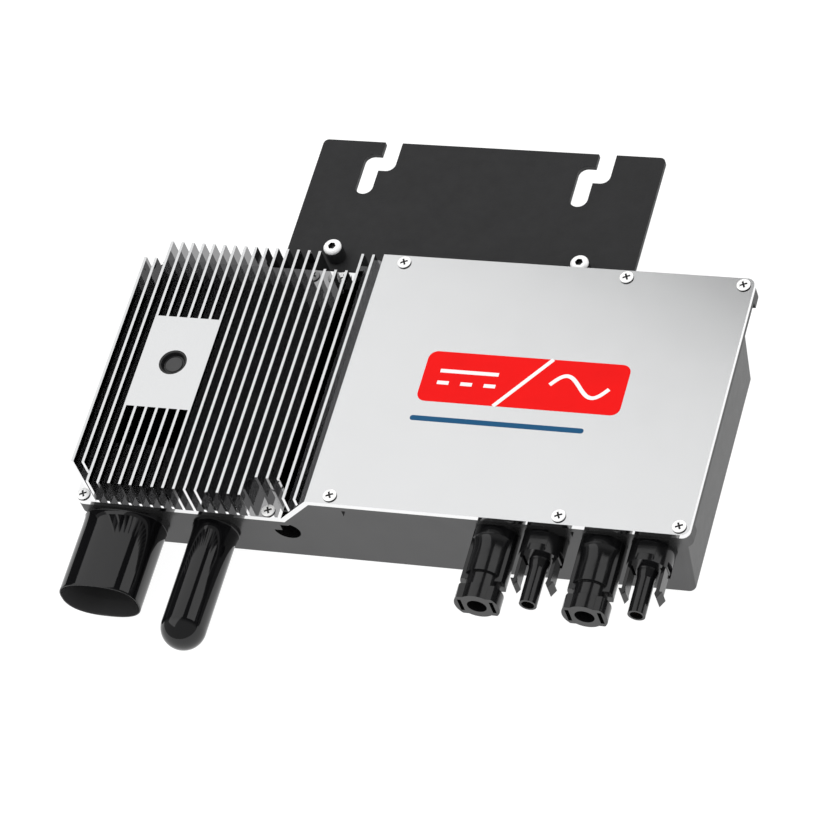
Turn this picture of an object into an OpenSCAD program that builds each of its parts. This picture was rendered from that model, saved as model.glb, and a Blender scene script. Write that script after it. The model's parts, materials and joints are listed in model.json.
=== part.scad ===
// Two-input solar micro inverter, lying on its flat back with the cover up.
// X runs along the long side, -Y is the connector side and +Y the bracket side.
// The origin is the centre of the lid's plan, at the height of the back face.

/* [Body] */
// Length of the lid
body_l = 277; // [270:1:290]
// Depth of the lid from the connector side to the bracket side
body_w = 128; // [124:1:136]
// Height from the back face to the cover
body_h = 48; // [47:0.5:52]
// Corner radius of the lid in plan
lid_r = 3.5; // [2:0.5:5]
// Thickness of the lid plate
lid_t = 2.5; // [2:0.1:3]
// Thickness of the housing's rim under the lid
rim_t = 2.5; // [2:0.1:3]
// Thickness of the housing's walls and floor
wall_t = 3; // [2.5:0.5:3.5]

/* [Heat sink] */
// How far the finned end of the lid lies below the cover
step_drop = 15.5; // [14:0.5:16]
// Length of the finned end before the ramp
low_l = 95.4; // [95:0.1:96]
// Length of the ramp between the two levels
ramp_l = 15.2; // [15:0.1:16]
// Number of cooling fins
fin_count = 22; // [20:1:22]
// Distance from one fin to the next
fin_pitch = 5; // [4.9:0.1:5]
// Thickness of one fin
fin_t = 1.2; // [1:0.1:1.6]
// How far the shorter fins stop before the lid's edge
fin_cut = 9.8; // [9:0.1:11]
// Depth of the solid pad around the status light
pad_w = 47.4; // [40:0.2:54]

/* [Connectors] */
// Distance between the two connectors of one panel input
pair_pitch = 21.2; // [21:0.1:22]
// Distance from one panel input to the next
input_pitch = 46.2; // [45:0.1:47]
// Height of the connector axes above the back face
dc_z = 33; // [32:0.5:33]
// Radius of the hole that takes a mating probe
socket_r = 4.2; // [4.1:0.05:4.3]
// Radius of the probe tube
probe_r = 3.75; // [3.6:0.05:3.8]
// Length of the probe tube beyond its root
probe_l = 16.5; // [15:0.5:18]

/* [Outlets] */
// Width of the oval cable boot
boot_w = 36.2; // [34:0.2:37]
// Height of the oval cable boot
boot_h = 24.6; // [22:0.2:25]
// Length of the cable boot
boot_l = 38.5; // [36:0.5:45]
// Radius of the antenna cover
dome_r = 9.8; // [9:0.1:10]
// Length of the antenna cover to its tip
dome_l = 58; // [50:1:65]

/* [Bracket] */
// Width of the mounting bracket
bracket_w = 160; // [150:1:170]
// Length of the mounting bracket
bracket_l = 71.5; // [68:0.5:80]
// Thickness of the bracket plate
bracket_t = 2.5; // [2:0.5:3]
// Distance between the two bolt slots
slot_pitch = 100; // [95:1:105]
// Width of the bolt slots
slot_w = 8; // [7:0.5:8.5]
// Distance between the two bracket screws
bracket_screw_pitch = 113.6; // [110:0.2:116]

/* [Hidden] */
$fn = 64;
EPS = 0.01;
PLAY = 0.05;

metal = [0.84, 0.85, 0.86];
grey_paint = [0.43, 0.43, 0.44];
black = [0.06, 0.06, 0.065];
steel = [0.78, 0.78, 0.78];
copper = [0.85, 0.62, 0.35];
board_green = [0.05, 0.3, 0.15];
silicone = [0.55, 0.2, 0.12];

left = -body_l / 2;
right = body_l / 2;
front = -body_w / 2;
rear = body_w / 2;
cover_z = body_h;
low_z = body_h - step_drop;
bend_low = left + low_l;
bend_high = bend_low + ramp_l;
bend_shift = tan(atan2(step_drop, ramp_l) / 2);

// How far the tub's walls stand in from the lid's edge, at the lid and at the back
left_in = [0.4, 2.5];
right_in = [2, 7.4];
front_in = [1, 2.9];
rear_in = 16;
wall_r = 2.6;
wall_fn = 32;

// Lid screws: a pan head on the lid, over a boss under the rim
screw_in = 3.8;
low_screw_in = 3.2;
screw_xs = [left + low_screw_in, bend_low - 6.5, bend_high + 10.4, 82.8, right - 4.5];
screw_r = 1.75;
screw_l = 7.4;
screw_head_r = 3;
screw_head_h = 1;
boss_w = 9.5;
boss_h = 6.5;

// Gasket in the rim, inside the lid screws
gasket_w = 1.8;
gasket_h = 1.2;
gasket_in = 6.6;
lip_in = 9.5;

// Fins, counted from 0: the pad takes the place of the middle of seven of them
first_fin_x = left + 0.9;
pad_fins = [3, 9];
short_fins = [0, 1, 17, 18, 19];
fin_end = 0.5;
light_x = first_fin_x + fin_pitch * (pad_fins[0] + pad_fins[1]) / 2;
bezel_r = 6.3;
bezel_h = 2.6;
lens_r = 3.75;

// Connectors on the front wall, in their own frame: z points out of the wall
seat_y = front + 0.8;
seat_r = 9.6;
seat_t = 4.6;
socket_xs = [53.4, 53.4 + input_pitch];
plug_xs = [for (x = socket_xs) x + pair_pitch];
connector_xs = concat(socket_xs, plug_xs);
spigot_r = 6.5;
spigot_l = 12;
nut_h = 4;
nut_r = 9.8;
barrel_r = 9.4;
socket_l = 34.1;
socket_depth = 22;
head_z = 27.4;
plug_barrel_l = 10.2;
plug_root_l = plug_barrel_l + 4.5;
probe_bore_r = 2.7;
contact_r = 2;
seal_r = 8.4;
seal_w = 0.9;
seal_t = 0.8;
collar_l = 4.4;
waist_z = 21.2;
waist_r = 8.3;
neck_r = 7.1;
rib_r = 9.7;
rib_w = 8;
rib_end = 23.8;

// Latch fingers, in the connector's frame: x across, y up
latch_x = 7.2;
latch_pivot_z = 8.6;
latch_root_r = 1.1;
latch_t = 1.5;
latch_w = 7.2;
barb_z = 21;
latch_tip_z = 24.3;

// Outlets at the finned end
outlet_z = 15.3;
boot_x = left + 18.5;
boot_t = 1.8;
insert_l = 22;
pin_circle_r = 5;
dome_x = left + 60.1;
dome_y = seat_y + 0.4;
dome_t = 1.6;
dome_floor_t = 3;
dome_seal_r = 7.4;
rod_room_r = 2;
outlet_spigot_r = 5;
outlet_spigot_l = 6.5;
ac_spigot_r = 8;
port_x = left + 94.2;
port_z = 19.8;
port_r = 5.9;
port_depth = 9.8;
port_hole_r = 3;

// Bracket plate, on two ears of the housing
bracket_x = -1;
bracket_y = rear + 0.8;
bracket_top = low_z - 0.5;
bracket_end = bracket_y + bracket_l;
bracket_screw_y = rear + 8.2;
ear_r = 5.8;
ear_h = 16;
spacer_h = 6.6;
spacer_r = 4.2;
bolt_r = 2.5;
slot_entry_x = -47.6;
slot_leg_x = -54.9;
slot_jog_y = [120.5, 129.3];
slot_end_y = 111.3;

// Circuit board
board_t = 1.6;
board_z = 8;
board_top = board_z + board_t;
board_x = [left + 11, right - 13];
board_y = [front + 14.5, rear - 22];
standoff_r = 3.5;
standoffs = [for (x = [-120, 0, 118], y = [-44, 36]) [x, y]];
board_screw_r = 1.4;
transistor_h = 4.5;
pad_h = 1;
spreader_x = [-100, -48];
spreader_z = board_top + transistor_h + pad_h;

// ---- Shared shapes ----

// Places the children on the front wall, their z axis pointing out of it
module on_wall(x, z, y = seat_y) {
    translate([x, y, z]) rotate([90, 0, 0]) children();
}

// Rectangle from corner a to corner b with round corners
module round_rect(a, b, r) {
    translate([a[0] + r, a[1]]) square([b[0] - a[0] - 2 * r, b[1] - a[1]]);
    translate([a[0], a[1] + r]) square([b[0] - a[0], b[1] - a[1] - 2 * r]);
    for (x = [a[0] + r, b[0] - r], y = [a[1] + r, b[1] - r]) translate([x, y]) circle(r = r);
}

// Round-cornered prism between heights z[0] and z[1]
module round_prism(a, b, z, r) {
    translate([0, 0, z[0]]) linear_extrude(height = z[1] - z[0]) round_rect(a, b, r);
}

module box(x, y, z) {
    translate([x[0], y[0], z[0]]) cube([x[1] - x[0], y[1] - y[0], z[1] - z[0]]);
}

module pipe(outer, inner, h) {
    difference() {
        cylinder(r = outer, h = h);
        translate([0, 0, -1]) cylinder(r = inner, h = h + 2);
    }
}

// Extrudes an outline drawn in X and Z along the whole depth
module along_y(y_min = front, y_max = rear) {
    translate([0, y_max, 0]) rotate([90, 0, 0]) linear_extrude(height = y_max - y_min) children();
}

// Smooth oval with half axes rx and ry, fuller than an ellipse
oval_power = 2.5;
oval_sides = 72;
function oval_term(t) = sign(t) * pow(abs(t), 2 / oval_power);
module oval(rx, ry) {
    polygon([for (i = [0:oval_sides - 1]) let (a = 360 * i / oval_sides)
        [rx * oval_term(cos(a)), ry * oval_term(sin(a))]]);
}

module oval_prism(grow, h) {
    linear_extrude(height = h) oval(boot_w / 2 + grow, boot_h / 2 + grow);
}

// ---- Lid ----

// Line across the stepped lid at depth d below its top, as X and Z points
function lid_line(d) = [[left - 1, low_z - d], [bend_low + d * bend_shift, low_z - d],
    [bend_high + d * bend_shift, cover_z - d], [right + 1, cover_z - d]];

function reversed(points) = [for (i = [len(points) - 1:-1:0]) points[i]];

// Layer of the stepped lid between two depths
module lid_layer(d_top, d_low) {
    along_y() polygon(concat(lid_line(d_top), reversed(lid_line(d_low))));
}

module lid_plan() {
    round_prism([left, front], [right, rear], [-1, body_h + 1], lid_r);
}

screw_places = [for (x = screw_xs, s = [-1, 1])
    x < bend_high ? [x, s * (rear - low_screw_in), low_z] : [x, s * (rear - screw_in), cover_z]];

function is_short(i) = len(search(i, short_fins)) > 0;

module fin(i) {
    stop = is_short(i) ? fin_cut : fin_end;
    x = first_fin_x + i * fin_pitch;
    box([x - fin_t / 2, x + fin_t / 2], [front + stop, rear - stop], [0, cover_z]);
}

module light_pad() {
    half = (pad_fins[1] - pad_fins[0]) * fin_pitch / 2 + fin_t / 2;
    box([light_x - half, light_x + half], [-pad_w / 2, pad_w / 2], [0, cover_z]);
}

module finned_lid() color(metal) difference() {
    union() {
        intersection() {
            lid_layer(0, lid_t);
            lid_plan();
        }
        intersection() {
            union() {
                for (i = [0:fin_count - 1]) fin(i);
                light_pad();
            }
            along_y() polygon([[left, low_z - 1], [bend_low, low_z - 1], [bend_high, cover_z - 1],
                [bend_high, cover_z], [left, cover_z]]);
        }
    }
    for (p = screw_places) translate(p - [0, 0, lid_t + 1]) cylinder(r = screw_r + 0.3, h = lid_t + 2);
    translate([light_x, 0, cover_z - bezel_h]) cylinder(r = bezel_r, h = bezel_h + 1);
    translate([light_x, 0, low_z - lid_t - 1]) cylinder(r = lens_r, h = step_drop + lid_t);
}

module gasket_band(width, h) intersection() {
    lid_layer(lid_t, lid_t + h);
    difference() {
        a = [left + gasket_in, front + gasket_in];
        b = [right - gasket_in, rear - rear_in - 0.6];
        round_prism(a, b, [1, body_h + 1], 3);
        round_prism([a[0] + width, a[1] + width], [b[0] - width, b[1] - width], [0, body_h + 2], 2);
    }
}

module lid_gasket() color(silicone) gasket_band(gasket_w, gasket_h);

// Pan head screw with a cross recess, its head standing on z = 0 under a dome of radius 4 heads
module pan_screw(r, l, head_r, head_h, dome = 12) difference() {
    union() {
        translate([0, 0, -l]) cylinder(r = r, h = l + EPS);
        intersection() {
            cylinder(r = head_r, h = head_h);
            translate([0, 0, head_h - dome]) sphere(r = dome);
        }
    }
    for (a = [25, 115]) rotate(a)
        box([-0.55 * head_r, 0.55 * head_r], [-0.13 * head_r, 0.13 * head_r], [0.4, 3]);
}

module lid_screws() color(steel) for (p = screw_places)
    translate(p) pan_screw(screw_r, screw_l, screw_head_r, screw_head_h);

// ---- Status light ----

module status_bezel() color(black) translate([light_x, 0, cover_z - bezel_h]) difference() {
    cylinder(r = bezel_r - PLAY, h = bezel_h - 0.1);
    translate([0, 0, 0.6]) cylinder(r1 = lens_r + 0.9, r2 = bezel_r - 0.7, h = bezel_h);
    translate([0, 0, -1]) cylinder(r = lens_r - 0.6, h = 3);
}

module status_lens() color("lightgrey") translate([light_x, 0, cover_z - bezel_h])
    translate([0, 0, 0.6]) cylinder(r = lens_r, h = 0.4);

module light_pipe() color("white") translate([light_x, 0, 0]) {
    led_top = board_top + 1.6;
    translate([0, 0, led_top]) cylinder(r = lens_r - 0.8, h = cover_z - bezel_h + 0.6 - led_top);
}

module status_led() color("white") translate([light_x, 0, board_top]) {
    box([-2.5, 2.5], [-2.5, 2.5], [0, 1]);
    cylinder(r = 1.8, h = 1.5);
}

// ---- Housing ----

// Plan of the tub at the lid (k = 0) or at the back (k = 1), inside walls of thickness t
module tub_plan(k, t, z) {
    translate([0, 0, z]) linear_extrude(height = EPS)
        round_rect([left + left_in[k] + t, front + front_in[k] + t],
            [right - right_in[k] - t, rear - rear_in - t], wall_r - t / 2, $fn = wall_fn);
}

module tub(t, floor_z) hull() {
    tub_plan(1, t, floor_z);
    tub_plan(0, t, body_h);
}

module under_lid() {
    along_y() polygon(concat([[left, 0]], lid_line(lid_t), [[right, 0]]));
}

module wall_seats() {
    for (x = connector_xs) on_wall(x, dc_z) translate([0, 0, -seat_t]) cylinder(r = seat_r, h = seat_t);
    on_wall(boot_x, outlet_z, front) translate([0, 0, -seat_t]) oval_prism(0, seat_t);
    on_wall(dome_x, outlet_z) translate([0, 0, -seat_t]) cylinder(r = dome_r - 0.1, h = seat_t - 0.4);
    on_wall(port_x, port_z) translate([0, 0, -port_depth - 2]) cylinder(r = port_r + 1.6, h = port_depth);
}

module wall_openings() {
    on_wall(boot_x, outlet_z) translate([0, 0, -9]) cylinder(r = ac_spigot_r + PLAY, h = 12);
    on_wall(dome_x, outlet_z) translate([0, 0, -9]) cylinder(r = outlet_spigot_r + PLAY, h = 12);
    on_wall(port_x, port_z) translate([0, 0, -port_depth]) cylinder(r = port_r, h = port_depth + 2);
    on_wall(port_x, port_z) translate([0, 0, -port_depth - 3]) cylinder(r = port_hole_r, h = 6);
}

// Room for the four connectors and their nuts, where a screw boss is close
module connector_room() {
    for (x = connector_xs) on_wall(x, dc_z) {
        translate([0, 0, -seat_t - 2]) cylinder(r = spigot_r + PLAY, h = seat_t + 3);
        cylinder(r = barrel_r + 0.1, h = 3);
        translate([0, 0, -seat_t - nut_h - 0.5]) cylinder(r = nut_r + 0.15, h = nut_h + 0.5, $fn = 6);
    }
}

// Flange under the lid, with a boss at each screw
module rim() intersection() {
    lid_plan();
    difference() {
        union() {
            lid_layer(lid_t, lid_t + rim_t);
            intersection() {
                lid_layer(lid_t, lid_t + boss_h);
                for (p = screw_places) translate([p[0] - boss_w / 2, p[1] - boss_w / 2, 0])
                    cube([boss_w, boss_w, body_h]);
            }
        }
        difference() {
            round_prism([left + lip_in, front + lip_in], [right - lip_in, rear - rear_in - wall_t],
                [-1, body_h + 1], wall_r);
            for (p = screw_places) translate([p[0] - boss_w / 2, p[1] - boss_w / 2, 0])
                cube([boss_w, boss_w, body_h]);
        }
    }
}

module bracket_ears() {
    for (s = [-1, 1]) translate([s * bracket_screw_pitch / 2, 0, bracket_top - bracket_t - ear_h]) {
        translate([0, bracket_screw_y, 0]) cylinder(r = ear_r, h = ear_h);
        box([-ear_r, ear_r], [rear - rear_in - 1, bracket_screw_y], [0, ear_h]);
    }
}

module housing() color(grey_paint) difference() {
    union() {
        difference() {
            union() {
                intersection() {
                    tub(0, 0);
                    under_lid();
                }
                wall_seats();
            }
            difference() {
                tub(wall_t, wall_t);
                wall_seats();
            }
            wall_openings();
        }
        rim();
        bracket_ears();
        for (p = standoffs) translate([p[0], p[1], 1]) cylinder(r = standoff_r, h = board_z - 1);
    }
    connector_room();
    gasket_band(gasket_w, gasket_h);
    for (p = screw_places) translate(p - [0, 0, screw_l + 0.4]) cylinder(r = screw_r + PLAY, h = screw_l + 1);
    for (s = [-1, 1]) translate([s * bracket_screw_pitch / 2, bracket_screw_y, bracket_top - 14])
        cylinder(r = bolt_r + PLAY, h = 20);
    for (p = standoffs) translate([p[0], p[1], 3.5]) cylinder(r = board_screw_r + PLAY, h = board_z);
}

module vent_plug() color(black) on_wall(port_x, port_z) translate([0, 0, -port_depth]) difference() {
    union() {
        cylinder(r = port_r - PLAY, h = 1.5);
        translate([0, 0, -2]) cylinder(r = port_hole_r - PLAY, h = 2 + EPS);
    }
    for (a = [0:60:300]) rotate(a) translate([1.6, 0, -3]) cylinder(r = 0.6, h = 6);
}

module vent_membrane() color("white") on_wall(port_x, port_z)
    translate([0, 0, -port_depth - 2.4]) cylinder(r = port_hole_r + 1, h = 0.4);

// ---- Bracket ----

// Bolt slot in the shape of a stepped hook with round corners, open at the bracket's far edge
module hook_slot() {
    r = slot_w / 2;
    entry = [slot_entry_x, slot_jog_y[0] + r];
    leg = [slot_leg_x, slot_jog_y[1] - r];
    end = [slot_leg_x, slot_end_y];
    for (p = [entry, leg, end]) translate(p) circle(r = r);
    translate(entry - [r, 0]) square([slot_w, bracket_end + 1 - entry[1]]);
    translate(end - [r, 0]) square([slot_w, leg[1] - end[1]]);
    translate([slot_leg_x, slot_jog_y[0]])
        square([slot_entry_x - slot_leg_x, slot_jog_y[1] - slot_jog_y[0]]);
}

module mounting_bracket() color(black) translate([0, 0, bracket_top - bracket_t])
    linear_extrude(height = bracket_t) difference() {
        round_rect([bracket_x - bracket_w / 2, bracket_y], [bracket_x + bracket_w / 2, bracket_end], 2.5);
        for (x = [0, slot_pitch]) translate([x, 0]) hook_slot();
        for (s = [-1, 1]) translate([s * bracket_screw_pitch / 2, bracket_screw_y]) circle(r = bolt_r + 0.3);
    }

module bracket_spacers() color(black) for (s = [-1, 1])
    translate([s * bracket_screw_pitch / 2, bracket_screw_y, bracket_top])
        pipe(spacer_r, bolt_r + 0.3, spacer_h);

// Button head screws with a hexagon socket
module bracket_screws() color(steel) for (s = [-1, 1])
    translate([s * bracket_screw_pitch / 2, bracket_screw_y, bracket_top + spacer_h]) difference() {
        union() {
            translate([0, 0, -19]) cylinder(r = bolt_r, h = 19 + EPS);
            cylinder(r = 4, h = 1.1);
            translate([0, 0, 1.1]) cylinder(r1 = 4, r2 = 3.2, h = 0.7);
        }
        translate([0, 0, 0.3]) cylinder(r = 1.75, h = 3, $fn = 6);
    }

// ---- Outlets at the finned end ----

module cable_boot() color(black) on_wall(boot_x, outlet_z, front) difference() {
    union() {
        oval_prism(0, boot_l);
        oval_prism(0.25, 2.2);
    }
    translate([0, 0, insert_l]) oval_prism(-boot_t, boot_l);
    translate([0, 0, -1]) oval_prism(-2 * boot_t, insert_l + 2);
}

module ac_insert() color(black) on_wall(boot_x, outlet_z, front) difference() {
    union() {
        oval_prism(-2 * boot_t - 0.02, insert_l);
        translate([0, 0, -seat_t - 5]) cylinder(r = ac_spigot_r, h = seat_t + 5 + EPS);
    }
    for (n = [1:3]) rotate(120 * n - 30) translate([pin_circle_r, 0, -20])
        cylinder(r = contact_r + 0.02, h = insert_l + 30);
    translate([0, 0, insert_l - 5]) pipe(ac_spigot_r + 1, ac_spigot_r, 6);
}

module ac_pin(n) color(copper) on_wall(boot_x, outlet_z, front)
    rotate(120 * n - 30) translate([pin_circle_r, 0, -13]) difference() {
        cylinder(r = contact_r, h = insert_l + 12);
        translate([0, 0, insert_l]) cylinder(r = contact_r * 0.6, h = insert_l);
    }

// Half outline of the antenna cover, round at its tip
module dome_outline(r) {
    square([r, dome_l - dome_r]);
    translate([0, dome_l - dome_r]) intersection() {
        circle(r = r);
        square(r);
    }
}

module antenna_cover() color(black) on_wall(dome_x, outlet_z, dome_y) rotate_extrude() difference() {
    union() {
        dome_outline(dome_r);
        translate([0, -outlet_spigot_l]) square([outlet_spigot_r, outlet_spigot_l + 1]);
    }
    translate([0, -outlet_spigot_l - 1]) square([rod_room_r, outlet_spigot_l + dome_floor_t + 2]);
    translate([0, dome_floor_t]) intersection() {
        translate([0, -dome_floor_t]) dome_outline(dome_r - dome_t);
        square([dome_r, dome_l]);
    }
    translate([dome_seal_r - seal_w, -1]) square([seal_w, 1 + seal_t]);
}

module antenna_seal() color(silicone) on_wall(dome_x, outlet_z, dome_y)
    pipe(dome_seal_r, dome_seal_r - seal_w, seal_t);

// A feed wire up the cover, with the antenna's coil on it
module antenna_rod() color(copper) on_wall(dome_x, outlet_z) {
    translate([0, 0, -9]) cylinder(r = 1.2, h = dome_l);
    translate([0, 0, 8]) cylinder(r = 2.4, h = dome_l - 26);
}

// ---- Panel connectors ----

// Threaded tail through the wall
module spigot() {
    translate([0, 0, -spigot_l]) cylinder(r = spigot_r, h = spigot_l + EPS);
}

module seal_groove() {
    translate([0, 0, -EPS]) pipe(seal_r, seal_r - seal_w, seal_t + EPS);
}

// Round outline cut flat at top and bottom, with a smaller circle bulging through the flats
module lens_outline(r, half_h, bulge_r) {
    intersection() {
        circle(r = r);
        square([2 * r, 2 * half_h], center = true);
    }
    circle(r = bulge_r);
}

// Socket: a barrel with a rib on each side, a waist, and a wide head with two key slots
module socket_body(n) color(black) on_wall(socket_xs[n - 1], dc_z) {
    head_r = 9.7;
    head_half_h = 6.2;
    head_bulge_r = 7.9;
    key_slot = [1.6, 8, 12];
    key_x = 6.9;
    relief_z = 22.1;
    difference() {
        union() {
            spigot();
            cylinder(r = barrel_r, h = collar_l);
            cylinder(r = waist_r, h = waist_z);
            cylinder(r = neck_r, h = socket_l - 1);
            linear_extrude(height = rib_end) intersection() {
                circle(r = rib_r);
                square([2 * rib_r, rib_w], center = true);
            }
            translate([0, 0, head_z]) linear_extrude(height = socket_l - head_z)
                lens_outline(head_r, head_half_h, head_bulge_r);
        }
        seal_groove();
        translate([0, 0, socket_l - socket_depth]) cylinder(r = socket_r, h = socket_depth + 1);
        translate([0, 0, relief_z]) cylinder(r = socket_r + 0.4, h = 2);
        translate([0, 0, -20]) cylinder(r = contact_r + 0.02, h = 40);
        for (s = [-1, 1]) translate([s * key_x, 0, socket_l]) cube(key_slot, center = true);
    }
}

module socket_contact(n) color(copper) on_wall(socket_xs[n - 1], dc_z) {
    translate([0, 0, -14]) cylinder(r = contact_r, h = 36);
    translate([0, 0, 22]) cylinder(r1 = contact_r, r2 = contact_r - 0.8, h = 1);
}

// Plug: a short barrel, and a thin tube that stands out of a cone
module plug_body(n) color(black) on_wall(plug_xs[n - 1], dc_z) {
    cone_r = 4.5;
    flat_v = 8.6;
    slot_half = latch_w / 2 + 0.2;
    difference() {
        union() {
            spigot();
            cylinder(r = barrel_r, h = plug_barrel_l);
            translate([0, 0, plug_barrel_l])
                cylinder(r1 = cone_r, r2 = probe_r, h = plug_root_l - plug_barrel_l);
            cylinder(r = probe_r, h = plug_root_l + probe_l);
        }
        seal_groove();
        // Flat on top of the barrel
        box([-barrel_r, barrel_r], [flat_v, barrel_r + 1], [1.5, 7]);
        // Open slots that the latch fingers spring from, each with a round seat
        for (s = [-1, 1]) mirror([s < 0 ? 1 : 0, 0, 0]) {
            box([latch_x - 1.4, barrel_r + 1], [-slot_half, slot_half], [latch_pivot_z, plug_barrel_l + 1]);
            box([latch_x, barrel_r + 1], [-slot_half, slot_half], [latch_pivot_z - 1.6, plug_barrel_l + 1]);
            translate([latch_x, slot_half, latch_pivot_z]) rotate([90, 0, 0])
                cylinder(r = latch_root_r + PLAY, h = 2 * slot_half);
        }
        translate([0, 0, -20]) cylinder(r = contact_r + 0.52, h = 60);
        translate([0, 0, plug_root_l - 2.7]) cylinder(r = probe_bore_r, h = 40);
    }
}

module plug_contact(n) color(copper) on_wall(plug_xs[n - 1], dc_z) difference() {
    translate([0, 0, -14]) cylinder(r = contact_r + 0.5, h = 14 + plug_root_l + probe_l - 3);
    translate([0, 0, 8]) cylinder(r = contact_r - 0.2, h = 30);
}

// Side view of a finger: a plate with a barb at its tip, pointing to +x
module latch_outline() {
    outer = latch_x + latch_t / 2;
    inner = latch_x - latch_t / 2;
    translate([latch_x, latch_pivot_z]) circle(r = latch_root_r);
    polygon([[inner, latch_pivot_z], [outer, latch_pivot_z], [outer, barb_z], [outer + 1.35, barb_z],
        [latch_x + 0.2, latch_tip_z], [inner - 0.35, barb_z + 1.2], [inner, barb_z - 0.6]]);
}

module latch(n, side) color(black) on_wall(plug_xs[n - 1], dc_z) mirror([side < 0 ? 1 : 0, 0, 0])
    translate([0, latch_w / 2, 0]) rotate([90, 0, 0]) linear_extrude(height = latch_w) latch_outline();

module connector_seal(n) color(silicone) on_wall(connector_xs[n - 1], dc_z)
    pipe(seal_r, seal_r - seal_w, seal_t);

module connector_nut(n) color(black) on_wall(connector_xs[n - 1], dc_z, seat_y + seat_t) rotate([180, 0, 0])
    difference() {
        cylinder(r = nut_r, h = nut_h, $fn = 6);
        translate([0, 0, -1]) cylinder(r = spigot_r + PLAY, h = nut_h + 2);
    }

// ---- Electronics inside ----

module main_board() color(board_green) difference() {
    union() {
        box(board_x, board_y, [board_z, board_top]);
        box([-4, 12], [-6, 10], [board_top, board_top + 1.4]);
        box([22, 27], [-46, -36], [board_top, board_top + 3]);
    }
    for (p = standoffs) translate([p[0], p[1], 0]) cylinder(r = board_screw_r + 0.3, h = body_h);
}

module board_screws() color(steel) for (p = standoffs)
    translate([p[0], p[1], board_top]) pan_screw(board_screw_r, 5, 2.8, 2);

// Two core halves around a round winding
module transformer(n) color("dimgray") translate([45 + 50 * (n - 1), 2, board_top]) {
    core = [34, 30, 27];
    yoke = 7;
    leg = 5;
    half = [-core[1] / 2, core[1] / 2];
    for (z = [0, core[2] - yoke]) box([-core[0] / 2, core[0] / 2], half, [z, z + yoke]);
    for (x = [-core[0] / 2, core[0] / 2 - leg]) box([x, x + leg], half, [yoke, core[2] - yoke]);
    translate([0, 0, yoke]) cylinder(r = 11, h = core[2] - 2 * yoke);
}

module bulk_capacitor(n) color("navy") translate([14 + 22 * n, -35, board_top]) cylinder(r = 9, h = 28);

module ac_relay() color("orange") translate([-76, -30, board_top]) box([-11, 11], [-8, 8], [0, 15]);

module line_choke() color(copper) translate([-106, -28, board_top + 5]) rotate_extrude()
    translate([8, 0]) circle(r = 5);

module film_capacitor() color("gold") translate([-44, -32, board_top]) box([-13, 13], [-5, 5], [0, 16]);

module radio_board() color(board_green) translate([-16, 24, board_top]) {
    for (x = [-11:4:9]) translate([x, 9, 0]) cylinder(r = 0.5, h = 4);
    box([-15, 15], [-11, 11], [4, 5.2]);
    box([-10, 6], [-7, 5], [5.2, 7.6]);
}

module transistor(n) color("dimgray") translate([-106 + 13 * n, 20, board_top])
    box([-5, 5], [-8, 8], [0, transistor_h]);

module thermal_pad() color("pink") box(spreader_x, [10, 30], [spreader_z - pad_h, spreader_z]);

module heat_spreader() color(metal) box(spreader_x, [8, 32], [spreader_z, low_z - lid_t]);

housing();
finned_lid();
lid_gasket();
lid_screws();
status_bezel();
status_lens();
light_pipe();
status_led();
mounting_bracket();
bracket_spacers();
bracket_screws();
vent_plug();
vent_membrane();
cable_boot();
ac_insert();
for (n = [1:3]) ac_pin(n);
antenna_cover();
antenna_rod();
antenna_seal();
for (n = [1:2]) socket_body(n);
for (n = [1:2]) socket_contact(n);
for (n = [1:2]) plug_body(n);
for (n = [1:2]) plug_contact(n);
for (n = [1:2]) latch(n, -1);
for (n = [1:2]) latch(n, 1);
for (n = [1:4]) connector_seal(n);
for (n = [1:4]) connector_nut(n);
main_board();
board_screws();
radio_board();
ac_relay();
line_choke();
film_capacitor();
heat_spreader();
thermal_pad();
for (n = [1:2]) transformer(n);
for (n = [1:4]) transistor(n);
for (n = [1:4]) bulk_capacitor(n);
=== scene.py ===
"""Studio picture of a two-input solar micro inverter.

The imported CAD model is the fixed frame. Shown pieces are softened copies of its nodes, or new pieces
built from the sizes that the frame gives. Lengths are in millimetres until they reach the mesh.
"""

import json
import math

import bmesh
import bpy
from mathutils import Matrix, Quaternion, Vector


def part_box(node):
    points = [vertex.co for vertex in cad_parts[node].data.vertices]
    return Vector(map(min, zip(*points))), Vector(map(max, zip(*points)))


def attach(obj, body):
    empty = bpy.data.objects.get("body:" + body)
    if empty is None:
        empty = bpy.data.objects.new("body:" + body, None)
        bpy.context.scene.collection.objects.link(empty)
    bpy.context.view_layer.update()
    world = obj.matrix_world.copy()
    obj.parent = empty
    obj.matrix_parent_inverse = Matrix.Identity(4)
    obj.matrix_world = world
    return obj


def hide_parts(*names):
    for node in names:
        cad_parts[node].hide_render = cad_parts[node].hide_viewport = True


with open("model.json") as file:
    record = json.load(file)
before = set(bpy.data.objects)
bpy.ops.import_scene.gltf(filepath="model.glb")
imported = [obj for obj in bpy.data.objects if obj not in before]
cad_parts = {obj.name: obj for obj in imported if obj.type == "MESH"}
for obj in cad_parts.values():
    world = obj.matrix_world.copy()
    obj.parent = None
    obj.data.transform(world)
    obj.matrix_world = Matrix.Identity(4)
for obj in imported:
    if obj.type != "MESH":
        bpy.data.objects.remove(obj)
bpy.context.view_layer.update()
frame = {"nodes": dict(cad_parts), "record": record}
MM = 0.001

behaviour = frame["record"]["behaviour"]
BODY_OF = {node: body for body, nodes in behaviour["bodies"].items() for node in nodes}
SLOT_OF = {row["node"]: row["material_slot"] for row in frame["record"]["subparts"]}


# ---- Materials ----

def link(tree, source, target):
    tree.links.new(source, target)


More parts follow.
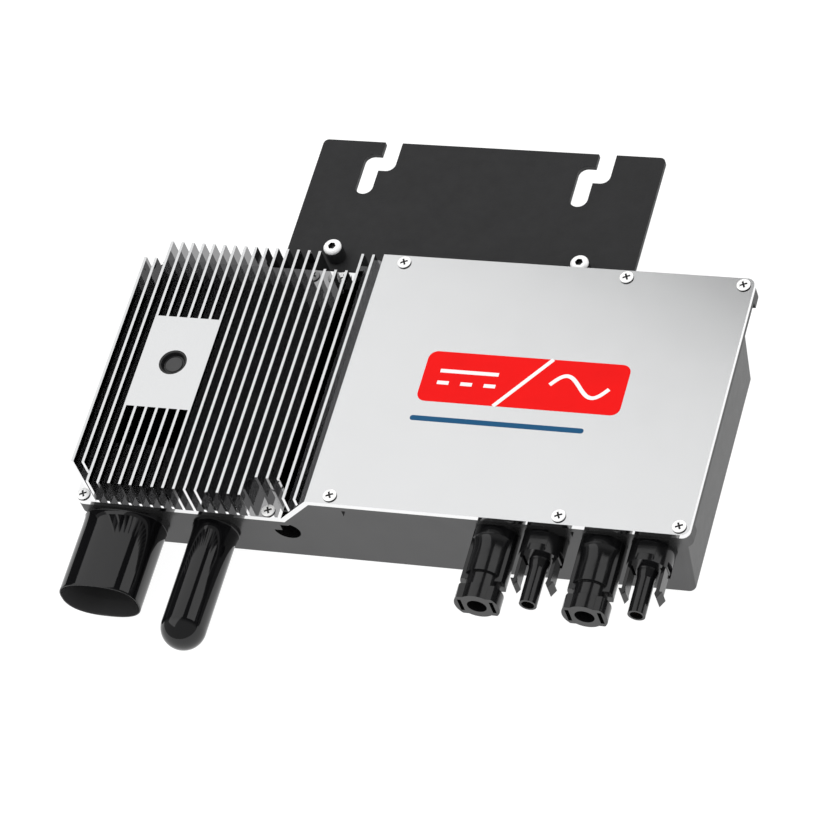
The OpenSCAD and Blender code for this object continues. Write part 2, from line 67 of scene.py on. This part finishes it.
def noise(tree, coords, size_mm, detail=2.0, stretch=(1, 1, 1)):
    """Noise whose grains are about size_mm across, in the object's own frame."""
    mapping = tree.nodes.new("ShaderNodeMapping")
    mapping.inputs["Scale"].default_value = stretch
    link(tree, coords, mapping.inputs["Vector"])
    node = tree.nodes.new("ShaderNodeTexNoise")
    node.inputs["Scale"].default_value = 1 / (size_mm * MM)
    node.inputs["Detail"].default_value = detail
    link(tree, mapping.outputs["Vector"], node.inputs["Vector"])
    return node.outputs["Fac"]


NOISE_RANGE = (0.3, 0.7)


def spread(tree, value, low, high):
    """Maps a noise value to the range low to high."""
    node = tree.nodes.new("ShaderNodeMapRange")
    node.inputs["From Min"].default_value, node.inputs["From Max"].default_value = NOISE_RANGE
    node.inputs["To Min"].default_value = low
    node.inputs["To Max"].default_value = high
    link(tree, value, node.inputs["Value"])
    return node.outputs["Result"]


def two_tone(tree, value, first, second):
    """Mixes two colours by a value from 0 to 1."""
    node = tree.nodes.new("ShaderNodeMix")
    node.data_type = "RGBA"
    link(tree, value, node.inputs["Factor"])
    node.inputs["A"].default_value = (*first, 1)
    node.inputs["B"].default_value = (*second, 1)
    return node.outputs["Result"]


def shade(colour, k):
    return tuple(min(1.0, c * k) for c in colour)


def finish(name, colour, rough, metallic=0.0, grain=0.5, bump=0.1, mottle=0.08, rough_spread=0.06,
           patch=14.0, ior=1.5, sheen=0.5, edge=1.0, glow=0.0, stretch=(1, 1, 1), tone=None):
    """Principled material with fine grain in its bump, and slow drifts in colour and roughness.

    edge dims a metal's gloss at grazing angles."""
    material = bpy.data.materials.new(name)
    material.use_nodes = True
    tree = material.node_tree
    shader = tree.nodes["Principled BSDF"]
    shader.inputs["Metallic"].default_value = metallic
    shader.inputs["IOR"].default_value = ior
    shader.inputs["Specular IOR Level"].default_value = sheen
    shader.inputs["Specular Tint"].default_value = (edge, edge, edge, 1)
    shader.inputs["Emission Color"].default_value = (1, 1, 1, 1)
    shader.inputs["Emission Strength"].default_value = glow
    coords = tree.nodes.new("ShaderNodeTexCoord").outputs["Object"]
    drift = noise(tree, coords, patch, 4.0, stretch)
    dark, light = shade(colour, 1 - mottle), tone or shade(colour, 1 + mottle)
    link(tree, two_tone(tree, spread(tree, drift, 0, 1), dark, light), shader.inputs["Base Color"])
    fine = noise(tree, coords, grain, 2.0, stretch)
    wear = noise(tree, coords, patch / 3, 3.0, stretch)
    low, high = max(0.02, rough - rough_spread), rough + rough_spread
    link(tree, spread(tree, wear, low, high), shader.inputs["Roughness"])
    relief = tree.nodes.new("ShaderNodeBump")
    relief.inputs["Strength"].default_value = bump
    relief.inputs["Distance"].default_value = grain * MM * 0.25
    link(tree, fine, relief.inputs["Height"])
    link(tree, relief.outputs["Normal"], shader.inputs["Normal"])
    return material


MATERIALS = {
    "housing_paint": finish("housing_paint", (0.124, 0.124, 0.125), 0.24, 0.9, grain=0.5, bump=0.04,
                            mottle=0.03, rough_spread=0.02, edge=0.5),
    "cover_metal": finish("cover_metal", (0.74, 0.745, 0.75), 0.17, 1.0, grain=0.25, bump=0.02,
                          mottle=0.008, rough_spread=0.006, patch=40),
    "cut_metal": finish("cut_metal", (0.88, 0.88, 0.885), 0.03, 1.0, grain=2, bump=0.001, mottle=0.02,
                        rough_spread=0.005, patch=20),
    # Painted shade: a darkened copy of the lid's polished metal, for the fin flanks, standing in for the
    # shade deep in the channels between the fins
    "fin_flank_painted_shade": finish("fin_flank_painted_shade", (0.25, 0.25, 0.253), 0.03, 1.0, grain=2, bump=0.001, mottle=0.03,
                        rough_spread=0.005, patch=20),
    # Painted shade: a dark copy of the screw metal, for the sides of the screw heads and the inside of
    # their recesses
    "screw_painted_shade": finish("screw_painted_shade", (0.05, 0.05, 0.05), 0.25, 1.0, grain=0.3, bump=0.05, patch=3),
    # Painted reflection: the boot's inside is lighter than its outer black, standing in for the
    # reflections seen inside its mouth
    "boot_inside_painted_reflection": finish("boot_inside_painted_reflection", (0.04, 0.04, 0.041), 0.12, grain=0.8, bump=0.02,
                          rough_spread=0.03),
    "bracket_coating": finish("bracket_coating", (0.018, 0.018, 0.019), 0.52, grain=0.7, bump=0.35,
                              ior=1.4),
    "gloss_black": finish("gloss_black", (0.004, 0.004, 0.0045), 0.06, grain=0.8, bump=0.02,
                          rough_spread=0.02),
    "connector_plastic": finish("connector_plastic", (0.006, 0.006, 0.0065), 0.16, grain=0.35, bump=0.06,
                                rough_spread=0.05),
    "black_plastic": finish("black_plastic", (0.006, 0.006, 0.0065), 0.25, grain=0.4, bump=0.12),
    "white_plastic": finish("white_plastic", (0.8, 0.8, 0.79), 0.45, grain=0.3, bump=0.1, mottle=0.03),
    "screw_steel": finish("screw_steel", (0.97, 0.97, 0.965), 0.35, 0.1, grain=0.25, bump=0.05,
                          mottle=0.02, rough_spread=0.05, patch=3),
    "contact_metal": finish("contact_metal", (0.8, 0.62, 0.42), 0.25, 1.0, grain=0.3, bump=0.08, patch=3),
    "silicone": finish("silicone", (0.42, 0.1, 0.06), 0.6, grain=0.3, bump=0.15),
    "lens": finish("lens", (0.045, 0.045, 0.046), 0.35, grain=0.3, bump=0.1, mottle=0.05),
    "circuit_board": finish("circuit_board", (0.02, 0.16, 0.07), 0.3, grain=0.5, bump=0.15, patch=5,
                            tone=(0.05, 0.26, 0.11)),
    "relay_plastic": finish("relay_plastic", (0.75, 0.35, 0.05), 0.35, bump=0.08),
    "winding": finish("winding", (0.75, 0.42, 0.2), 0.3, 1.0, grain=0.8, bump=0.6, stretch=(1, 1, 8)),
    "film_plastic": finish("film_plastic", (0.8, 0.62, 0.1), 0.35, bump=0.08),
    "spreader_metal": finish("spreader_metal", (0.78, 0.79, 0.8), 0.35, 1.0, grain=0.4, bump=0.2,
                             stretch=(1, 12, 1)),
    "pad_silicone": finish("pad_silicone", (0.55, 0.6, 0.68), 0.7, grain=0.4, bump=0.2),
    "ferrite": finish("ferrite", (0.1, 0.1, 0.11), 0.6, grain=0.4, bump=0.25),
    "component_black": finish("component_black", (0.03, 0.03, 0.03), 0.5, grain=0.3, bump=0.2),
    "capacitor_sleeve": finish("capacitor_sleeve", (0.03, 0.06, 0.16), 0.25, bump=0.06),
}
for node, cad_object in frame["nodes"].items():
    cad_object.data.materials.clear()
    cad_object.data.materials.append(MATERIALS[SLOT_OF[node]])


# ---- Pieces ----

def add_piece(name, bm, node, replaced=None):
    """Makes a piece from a bmesh, in node's finish and on its body, in place of the replaced nodes."""
    mesh = bpy.data.meshes.new(name)
    bm.to_mesh(mesh)
    bm.free()
    for polygon in mesh.polygons:
        polygon.use_smooth = True
    mesh.materials.append(MATERIALS[SLOT_OF[node]])
    piece = bpy.data.objects.new(name, mesh)
    bpy.context.scene.collection.objects.link(piece)
    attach(piece, BODY_OF[node])
    for n in [node] if replaced is None else replaced:
        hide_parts(n)
    return piece


SHARP_ANGLE = 32
EDGE_SEGMENTS = 2
WELD_M = 2e-6
FLAT_ANGLE = 0.4


def soften(piece, width):
    """Rounds a piece's edges that are sharper than SHARP_ANGLE."""
    bevel = piece.modifiers.new("edges", "BEVEL")
    bevel.width = width * MM
    bevel.segments = EDGE_SEGMENTS
    bevel.limit_method = "ANGLE"
    bevel.angle_limit = math.radians(SHARP_ANGLE)
    bevel.use_clamp_overlap = True
    normals = piece.modifiers.new("flat_faces", "WEIGHTED_NORMAL")
    normals.mode = "FACE_AREA"
    normals.weight = 100
    return piece


def refined(node, width):
    """A welded, softened copy of a CAD node stands for it."""
    bm = bmesh.new()
    bm.from_mesh(frame["nodes"][node].data)
    bmesh.ops.remove_doubles(bm, verts=bm.verts, dist=WELD_M)
    bmesh.ops.dissolve_limit(bm, angle_limit=math.radians(FLAT_ANGLE), verts=bm.verts, edges=bm.edges)
    return soften(add_piece(node + "_shell", bm, node), width)


def corner(node):
    """Lowest and highest corners of a CAD node, in millimetres."""
    low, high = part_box(node)
    return low / MM, high / MM


def paint_faces(piece, material, wanted):
    """Gives a second material to the faces whose centre and normal, in millimetres, are wanted."""
    piece.data.materials.append(MATERIALS[material])
    index = len(piece.data.materials) - 1
    for polygon in piece.data.polygons:
        if wanted(polygon.center / MM, polygon.normal):
            polygon.material_index = index


def loft(bm, rings, close_last=False):
    """Skins a list of rings of points, each with the same number of points, in millimetres."""
    rows = [[bm.verts.new(Vector(p) * MM) for p in ring] for ring in rings]
    count = len(rows[0])
    for a, b in zip(rows, rows[1:]):
        for i in range(count):
            j = (i + 1) % count
            bm.faces.new((a[i], a[j], b[j], b[i]))
    if close_last:
        bm.faces.new(rows[-1])


def arc(centre, radius, start, end, steps):
    """Points of an arc in a plane, from start to end degrees."""
    for i in range(steps + 1):
        a = math.radians(start + (end - start) * i / steps)
        yield centre[0] + radius * math.cos(a), centre[1] + radius * math.sin(a)


# Parts that stand on the front wall. A flare is how far the foot stands out, and how long it is
WALL_Y = -64.0
FLARE_STEPS = 10
BOOT_FLARE = (0.38, 6.5)
DOME_FLARE = (0.7, 8.0)

# The oval boot, with a thin lip
BOOT_POWER = 2.5
BOOT_SIDES = 144
BOOT_WALL = 1.8
BOOT_INSIDE = 0.93
BOOT_RING = 0.25
LIP_WALL = 0.5
LIP_TAPER = 7.0

# The domed tube
ROUND_SIDES = 112
DOME_FOOT = 1.2
DOME_STEPS = 20

# The wide connectors: where they sit, the collar's radius and length, the waist and the neck
SEAT_Y = -63.2
COLLAR = (9.4, 4.4)
WAIST_R = 8.3
NECK_L = 7.0


def flare(grow, length, foot):
    """Concave foot of a round or oval piece: how far it stands out at each Y, from the wall outwards."""
    for i in range(FLARE_STEPS + 1):
        a = math.radians(90 * i / FLARE_STEPS)
        yield grow * (1 - math.sin(a)), foot - length * (1 - math.cos(a))


def oval_ring(centre, half, y):
    ring = []
    for i in range(BOOT_SIDES):
        a = 2 * math.pi * i / BOOT_SIDES
        c, s = math.cos(a), math.sin(a)
        ring.append((centre[0] + half[0] * math.copysign(abs(c) ** (2 / BOOT_POWER), c), y,
                     centre[1] + half[1] * math.copysign(abs(s) ** (2 / BOOT_POWER), s)))
    return ring


def cable_boot():
    low, high = corner("cable_boot")
    centre = ((low.x + high.x) / 2, (low.z + high.z) / 2)
    half = ((high.x - low.x) / 2 - BOOT_RING, (high.z - low.z) / 2 - BOOT_RING)
    end = low.y
    floor_y = corner("ac_insert")[0].y + 0.3
    outer = list(flare(*BOOT_FLARE, WALL_Y))
    outer += [(0, WALL_Y - 8), (0, WALL_Y - 12), (0, end + 1), (0, end + 0.3), (-0.08, end + 0.08),
              (-LIP_WALL / 2, end)]
    inner = [(-LIP_WALL + 0.08, end + 0.08), (-LIP_WALL, end + 0.3), (-LIP_WALL - 0.1, end + 0.8),
             (-BOOT_WALL, end + LIP_TAPER), (-BOOT_WALL, end + LIP_TAPER + 1), (-BOOT_WALL, floor_y)]
    bm = bmesh.new()
    loft(bm, [oval_ring(centre, (half[0] + g, half[1] + g), y) for g, y in outer + inner])
    return bm


def round_ring(centre, r, y):
    return [(centre[0] + r * math.cos(2 * math.pi * i / ROUND_SIDES), y,
             centre[1] + r * math.sin(2 * math.pi * i / ROUND_SIDES)) for i in range(ROUND_SIDES)]


def antenna_cover():
    low, high = corner("antenna_cover")
    centre = ((low.x + high.x) / 2, (low.z + high.z) / 2)
    radius = (high.x - low.x) / 2
    foot = WALL_Y + DOME_FOOT
    profile = [(radius + g, y) for g, y in flare(*DOME_FLARE, foot)] + [(radius, low.y + radius + 12)]
    profile += arc((0, low.y + radius), radius, 0, -88, DOME_STEPS)
    bm = bmesh.new()
    loft(bm, [round_ring(centre, r, y) for r, y in profile], close_last=True)
    bmesh.ops.recalc_face_normals(bm, faces=bm.faces)
    return bm


def socket_flare(n):
    """Concave neck between the socket's collar and its waist."""
    low, high = corner(f"socket_body_{n}")
    centre = ((low.x + high.x) / 2, (low.z + high.z) / 2)
    collar_y = SEAT_Y - COLLAR[1]
    profile = [(WAIST_R + g, y) for g, y in flare(COLLAR[0] - WAIST_R, NECK_L, collar_y)]
    bm = bmesh.new()
    loft(bm, [round_ring(centre, r, y) for r, y in [(COLLAR[0], collar_y + 0.5)] + profile])
    bmesh.ops.recalc_face_normals(bm, faces=bm.faces)
    return bm


boot = add_piece("cable_boot_shell", cable_boot(), "cable_boot")
boot_low, boot_high = corner("cable_boot")
boot_centre, boot_half = (boot_low + boot_high) / 2, (boot_high - boot_low) / 2
# The boot's inner faces get the painted reflection
paint_faces(boot, "boot_inside_painted_reflection", lambda p, n: abs((p.x - boot_centre.x) / boot_half.x) ** BOOT_POWER
            + abs((p.z - boot_centre.z) / boot_half.z) ** BOOT_POWER < BOOT_INSIDE)
add_piece("antenna_cover_shell", antenna_cover(), "antenna_cover")
for n in (1, 2):
    add_piece(f"socket_flare_{n}", socket_flare(n), f"socket_body_{n}", replaced=[])

EDGE_MM = {
    "housing": 0.35, "finned_lid": 0.12, "mounting_bracket": 0.35, "bracket_spacers": 0.25,
    "bracket_screws": 0.2, "lid_screws": 0.3, "status_bezel": 0.12, "status_lens": 0.1,
    "vent_plug": 0.15, "ac_insert": 0.3,
}
for side in ("left", "right"):
    for n in (1, 2):
        EDGE_MM[f"{side}_latch_{n}"] = 0.2
for n in (1, 2):
    EDGE_MM[f"socket_body_{n}"] = 0.25
    EDGE_MM[f"plug_body_{n}"] = 0.25
shells = {node: refined(node, width) for node, width in EDGE_MM.items()}
paint_faces(shells["bracket_spacers"], "bracket_coating", lambda p, n: True)

LOW_Z = 32.5
RAMP_TOP_X = -27.9
TOP_Z = corner("finned_lid")[1].z
CROSS_FLOOR = 0.4
HEX_ROOM = 1.9
HEX_DEPTH = 3
HEX_FLOOR = 1
PORT_SHADE_R = 6.1
paint_faces(shells["finned_lid"], "cut_metal", lambda p, n: n.z < 0.9 or p.z < TOP_Z - 1)
# Painted shade: the flanks of the fins in the finned part of the lid get the darkened copy of its metal
paint_faces(shells["finned_lid"], "fin_flank_painted_shade",
            lambda p, n: abs(n.x) > 0.95 and p.z > LOW_Z + 1 and p.x < RAMP_TOP_X)
# Painted shade: the sides of the lid screws' heads and the floors of their cross recesses are painted dark
paint_faces(shells["lid_screws"], "screw_painted_shade",
            lambda p, n: abs(n.z) < 0.5
            or min(abs(p.z - z - CROSS_FLOOR) for z in (LOW_Z, TOP_Z)) < 0.2)
bolt_low, bolt_high = corner("bracket_screws")
HEAD_R = (bolt_high.y - bolt_low.y) / 2
HEADS_X = (bolt_low.x + HEAD_R, bolt_high.x - HEAD_R)
HEADS_Y = (bolt_low.y + bolt_high.y) / 2


def hex_hole_painted_shade(p, n):
    """Walls and floor of the hexagon holes in the bracket's screws, the faces that get painted shade."""
    return (p.z > bolt_high.z - HEX_DEPTH and (abs(n.z) < 0.7 or p.z < bolt_high.z - HEX_FLOOR)
            and any(math.hypot(p.x - x, p.y - HEADS_Y) < HEX_ROOM for x in HEADS_X))


# Painted shade in the hexagon holes of the bracket's screws
paint_faces(shells["bracket_screws"], "screw_painted_shade", hex_hole_painted_shade)
port_low, port_high = corner("vent_plug")
PORT = ((port_low.x + port_high.x) / 2, (port_low.z + port_high.z) / 2)
# Painted shade: the housing's faces in and around the vent port's hole are painted black, like the plug in
# it
paint_faces(shells["housing"], "black_plastic",
            lambda p, n: math.hypot(p.x - PORT[0], p.z - PORT[1]) < PORT_SHADE_R and p.y < port_high.y + 1)


# ---- Label: a plain converter symbol, printed on the cover ----

LABEL_X = (6.5, 96.0)
LABEL_Y = (-9.5, 16.0)
LABEL_R = 4.0
RULE_Y = (-19.5, -17.0)
RULE_END = 83.0
PRINT_H = 0.04
PRINT_LIFT = 0.01
MATERIALS["print_red"] = finish("print_red", (0.75, 0.003, 0.003), 0.4, grain=0.4, bump=0.05, mottle=0.03,
                                sheen=0.08)
MATERIALS["print_blue"] = finish("print_blue", (0.012, 0.08, 0.18), 0.4, grain=0.4, bump=0.05, mottle=0.03,
                                 sheen=0.08)
MATERIALS["print_white"] = finish("print_white", (0.8, 0.8, 0.8), 0.4, grain=0.4, bump=0.05, mottle=0.02,
                                  sheen=0.08)


def print_shape(name, outlines, material, level):
    """Flat inked shapes, each outline a list of X and Y points, a little above the cover."""
    bm = bmesh.new()
    for outline in outlines:
        under, over = ([bm.verts.new(Vector((x, y, z)) * MM) for x, y in outline]
                       for z in (TOP_Z + PRINT_LIFT, TOP_Z + PRINT_H * level))
        bm.faces.new(under[::-1])
        bm.faces.new(over)
        for i, v in enumerate(over):
            j = (i + 1) % len(over)
            bm.faces.new((under[i], under[j], over[j], v))
    bmesh.ops.recalc_face_normals(bm, faces=bm.faces)
    mesh = bpy.data.meshes.new(name)
    bm.to_mesh(mesh)
    bm.free()
    mesh.materials.append(MATERIALS[material])
    piece = bpy.data.objects.new(name, mesh)
    bpy.context.scene.collection.objects.link(piece)
    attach(piece, BODY_OF["finned_lid"])
    return piece


CORNER_STEPS = 8


def round_outline(x, y, r):
    points = []
    for cx, cy, start in ((x[1] - r, y[1] - r, 0), (x[0] + r, y[1] - r, 90),
                          (x[0] + r, y[0] + r, 180), (x[1] - r, y[0] + r, 270)):
        points += arc((cx, cy), r, start, start + 90, CORNER_STEPS)
    return points


def ribbon(points, width):
    """Outline of a line of that width along the points."""
    left, right = [], []
    for i, p in enumerate(points):
        a, b = Vector(points[max(i - 1, 0)]), Vector(points[min(i + 1, len(points) - 1)])
        side = (b - a).orthogonal().normalized() * width / 2
        left.append(tuple(Vector(p) + side))
        right.append(tuple(Vector(p) - side))
    return left + right[::-1]


def converter_symbol():
    """Direct current on the left, a slash, and one wave of alternating current on the right."""
    middle_x, middle_y = sum(LABEL_X) / 2, sum(LABEL_Y) / 2
    half_h = (LABEL_Y[1] - LABEL_Y[0]) / 2
    stroke, reach = 1.8, 13.0
    slash = [(middle_x - half_h * 0.8, LABEL_Y[0]), (middle_x + half_h * 0.8, LABEL_Y[1])]
    dc_x = LABEL_X[0] + (middle_x - LABEL_X[0]) * 0.45
    ac_x = LABEL_X[1] - (LABEL_X[1] - middle_x) * 0.45
    apart, wave_h, wave_steps, dash = 3, 5, 40, reach * 2 / 5
    shapes = [ribbon(slash, stroke)]
    shapes.append(ribbon([(dc_x - reach, middle_y + apart), (dc_x + reach, middle_y + apart)], stroke))
    for i in range(3):
        start = dc_x - reach + 2 * i * dash
        shapes.append(ribbon([(start, middle_y - apart), (start + dash, middle_y - apart)], stroke))
    wave = [(ac_x - reach + 2 * reach * i / wave_steps,
             middle_y + wave_h * math.sin(2 * math.pi * i / wave_steps)) for i in range(wave_steps + 1)]
    shapes.append(ribbon(wave, stroke))
    return shapes


print_shape("label_panel", [round_outline(LABEL_X, LABEL_Y, LABEL_R)], "print_red", 1)
print_shape("label_symbol", converter_symbol(), "print_white", 2)
print_shape("label_rule", [round_outline((LABEL_X[0], RULE_END), RULE_Y, 1.2)], "print_blue", 1)


# ---- Camera, light and floor, in metres ----

scene = bpy.context.scene
AZIMUTH = math.radians(34.4307)
ELEVATION = math.radians(51.8396)
DISTANCE = 1.725337
ROLL = math.radians(-23.7335)
TARGET = Vector((0.002418, -0.010031, 0.040851))
back = Vector((math.sin(AZIMUTH) * math.cos(ELEVATION), -math.cos(AZIMUTH) * math.cos(ELEVATION),
               math.sin(ELEVATION)))
camera = bpy.data.objects.new("camera", bpy.data.cameras.new("camera"))
camera.data.lens = 180.05
camera.data.sensor_width = 36
camera.data.clip_start = 0.05
camera.location = TARGET + back * DISTANCE
camera.rotation_mode = "QUATERNION"
camera.rotation_quaternion = (-back).to_track_quat("-Z", "Y") @ Quaternion((0, 0, 1), ROLL)
bpy.context.scene.collection.objects.link(camera)
bpy.context.scene.camera = camera
scene.view_settings.view_transform = "Standard"


def area_light(name, size, radiance):
    """A rectangular light with an even radiance over its face."""
    data = bpy.data.lights.new(name, "AREA")
    data.shape = "RECTANGLE"
    data.size, data.size_y = size
    data.energy = radiance * math.pi * data.size * data.size_y
    lamp = bpy.data.objects.new(name, data)
    scene.collection.objects.link(lamp)
    return lamp


def softbox(name, direction, along, distance, size, radiance):
    """A light in that direction from the object, its length along another direction."""
    lamp = area_light(name, size, radiance)
    z = Vector(direction).normalized()
    x = (Vector(along) - Vector(along).dot(z) * z).normalized()
    lamp.location = z * distance
    lamp.rotation_mode = "QUATERNION"
    lamp.rotation_quaternion = Matrix((x, z.cross(x), z)).transposed().to_quaternion()


CEILING = 2.0


def ceiling_box(name, x, y, radiance, turn):
    """A light flat on the ceiling, over x and y times the ceiling's height from the object."""
    lamp = area_light(name, ((x[1] - x[0]) * CEILING, (y[1] - y[0]) * CEILING), radiance)
    lamp.location = ((x[0] + x[1]) / 2 * CEILING, (y[0] + y[1]) / 2 * CEILING, CEILING)
    lamp.rotation_euler = (0, 0, turn)


ceiling_box("main_softbox", (-1.535, -0.135), (-0.44, 0.925), 1.05, math.radians(-28))
softbox("side_softbox", (0.603, 0.508, 0.614), (1, 0, -1), 2.5, (1.75, 0.85), 1.2)
softbox("back_softbox", (-0.1, 0.89, 0.44), (1, 0, 0), 2.5, (2.4, 1.1), 0.8)

# Gloss meets a dim room behind the softboxes, and a lighter one on the opposite side. Between them it
# fades over the Y of the direction, which is fixed in the scene
ROOM_DIFFUSE = 0.95
ROOM_GLOSS = (0.35, 0.03)
ROOM_FADE = (0.0, 0.3)
world = bpy.data.worlds.new("studio")
scene.world = world
world.use_nodes = True
tree = world.node_tree
background = tree.nodes["Background"]
ray = tree.nodes.new("ShaderNodeLightPath")
axes = tree.nodes.new("ShaderNodeSeparateXYZ")
link(tree, tree.nodes.new("ShaderNodeTexCoord").outputs["Generated"], axes.inputs["Vector"])
room = tree.nodes.new("ShaderNodeMapRange")
room.inputs["From Min"].default_value, room.inputs["From Max"].default_value = ROOM_FADE
room.inputs["To Min"].default_value, room.inputs["To Max"].default_value = ROOM_GLOSS
link(tree, axes.outputs["Y"], room.inputs["Value"])
level = tree.nodes.new("ShaderNodeMapRange")
level.inputs["To Min"].default_value = ROOM_DIFFUSE
link(tree, room.outputs["Result"], level.inputs["To Max"])
link(tree, ray.outputs["Is Glossy Ray"], level.inputs["Value"])
background.inputs["Color"].default_value = (1, 1, 1, 1)
link(tree, level.outputs["Result"], background.inputs["Strength"])

# The floor lies a little below the housing's back, so that the two don't flicker. It is mostly self-lit
HALF = 6.0
FLOOR_GAP = 0.3
FLOOR_GLOW = 0.97
floor_mesh = bpy.data.meshes.new("floor")
floor_mesh.from_pydata([(-HALF, -HALF, 0), (HALF, -HALF, 0), (HALF, HALF, 0), (-HALF, HALF, 0)], [],
                       [(0, 1, 2, 3)])
floor = bpy.data.objects.new("floor", floor_mesh)
floor.location.z = -FLOOR_GAP * MM
scene.collection.objects.link(floor)
floor_mesh.materials.append(finish("floor", (0.13, 0.13, 0.13), 0.8, grain=4, bump=0.02, mottle=0.005,
                                   patch=300, glow=FLOOR_GLOW))
